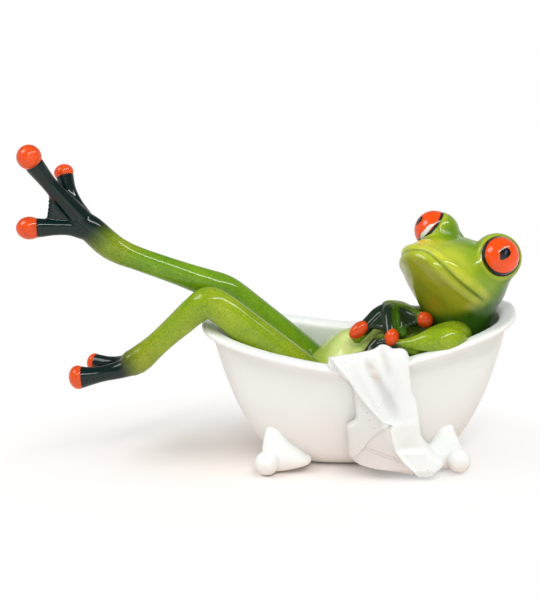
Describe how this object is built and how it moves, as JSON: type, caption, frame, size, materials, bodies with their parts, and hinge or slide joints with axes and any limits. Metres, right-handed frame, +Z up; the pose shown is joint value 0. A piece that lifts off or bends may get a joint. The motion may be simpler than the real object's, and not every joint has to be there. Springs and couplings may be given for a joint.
{
  "type": "frog figurine",
  "caption": "Painted resin ornament of a long-legged frog lounging in a claw-foot bathtub with a towel over the rim.",
  "frame": {"origin": "centre of the whole ornament's box, on the ground", "axes": "+X to the head end of the bathtub, -Y to the towel side, +Z up"},
  "size_m": [0.2226, 0.072, 0.1479],
  "materials": {
    "tub_white": "satin white paint on cast resin",
    "towel_white": "matt white paint on cast resin",
    "frog_green": "gloss clear coat over airbrushed greens",
    "frog_dark": "gloss clear coat over dark teal",
    "orange_gloss": "gloss orange enamel",
    "eye_orange": "gloss orange enamel with a black ring and pupil",
    "dowel_wood": "plain birch",
    "core_wire": "bare drawn wire"
  },
  "bodies": {
    "root": {"arm_left": "frog_green", "arm_right": "frog_green", "eye_left": "eye_orange", "eye_right": "eye_orange", "finger_tips_left": "orange_gloss", "finger_tips_right": "orange_gloss", "foot_left": "frog_dark", "foot_right": "frog_dark", "hand_left": "frog_dark", "hand_right": "frog_dark", "head": "frog_green", "leg_left": "frog_green", "leg_right": "frog_green", "leg_wire_left": "core_wire", "leg_wire_right": "core_wire", "neck_dowel": "dowel_wood", "toe_tips_left": "orange_gloss", "toe_tips_right": "orange_gloss", "torso": "frog_green", "towel": "towel_white", "tub_foot_foot_end_left": "tub_white", "tub_foot_foot_end_right": "tub_white", "tub_foot_head_end_left": "tub_white", "tub_foot_head_end_right": "tub_white", "tub_shell": "tub_white"}
  },
  "joints": []
}
